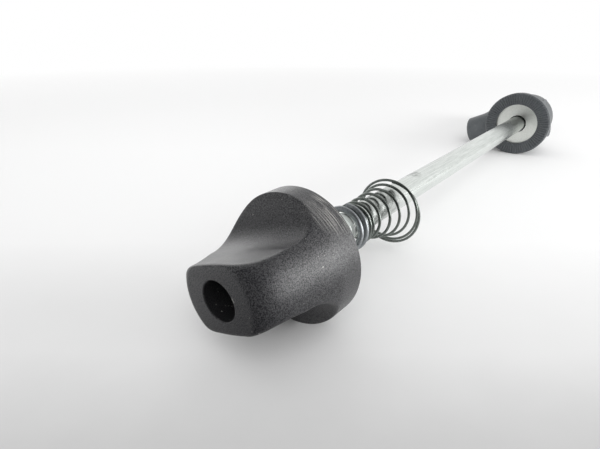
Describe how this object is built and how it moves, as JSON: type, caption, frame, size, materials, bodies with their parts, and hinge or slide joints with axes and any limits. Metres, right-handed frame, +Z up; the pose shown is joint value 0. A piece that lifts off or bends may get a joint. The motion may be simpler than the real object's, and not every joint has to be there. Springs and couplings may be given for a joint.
{
  "type": "quick release skewer",
  "caption": "Bicycle front-wheel quick release skewer: rod with a grip nut, conical springs and an enclosed-cam lever head that clamps the wheel in the fork.",
  "frame": {"origin": "on the rod's axis, at the back edge of the nut's rim", "axes": "+X along the rod from the nut to the lever, +Z up as it lies on a table"},
  "size_m": [0.1928, 0.028, 0.0198],
  "materials": {
    "black_coat": "matte, fine grain",
    "bush_steel": "zinc plated",
    "spring_wire": "drawn wire, satin",
    "thin_wire": "drawn wire, satin",
    "zinc_rod": "bright zinc plate",
    "black_housing": "matte",
    "zinc_washer": "zinc plate",
    "shaft_steel": "ground",
    "clip_steel": "blackened spring steel",
    "nylon": "matte",
    "black_lever": "satin"
  },
  "bodies": {
    "housing": {"cam_housing": "black_housing", "guide_washer": "zinc_washer", "lever_washer": "nylon"},
    "lever": {"lever": "black_lever", "cam_shaft": "shaft_steel", "shaft_clip": "clip_steel"},
    "rod": {"skewer_rod": "zinc_rod"},
    "springs": {"nut_spring": "spring_wire", "lever_spring": "thin_wire"},
    "nut": {"nut_body": "black_coat", "nut_insert": "bush_steel"}
  },
  "joints": [
    {"name": "lever_swing", "type": "hinge", "parent": "housing", "child": "lever", "pos_m": [0.1225, -0.00015, -0.00048], "axis": [0, 0.9545, -0.2981], "range_deg": [-90, 90]},
    {"name": "clamp_draw", "type": "slide", "parent": "housing", "child": "rod", "axis": [1, 0, 0], "range_m": [-0.001, 0.001]},
    {"name": "nut_travel", "type": "slide", "parent": "rod", "child": "springs", "axis": [1, 0, 0], "range_m": [-0.0024, 0.0048]},
    {"name": "nut_turn", "type": "hinge", "parent": "springs", "child": "nut", "pos_m": [0, 0, 0], "axis": [1, 0, 0], "range_deg": [-1080, 2160]}
  ],
  "couplings": [
    {"joint": "lever_swing", "follows": "clamp_draw", "rad_per_m": 1570.8},
    {"joint": "nut_turn", "follows": "nut_travel", "rad_per_m": 7854}
  ]
}
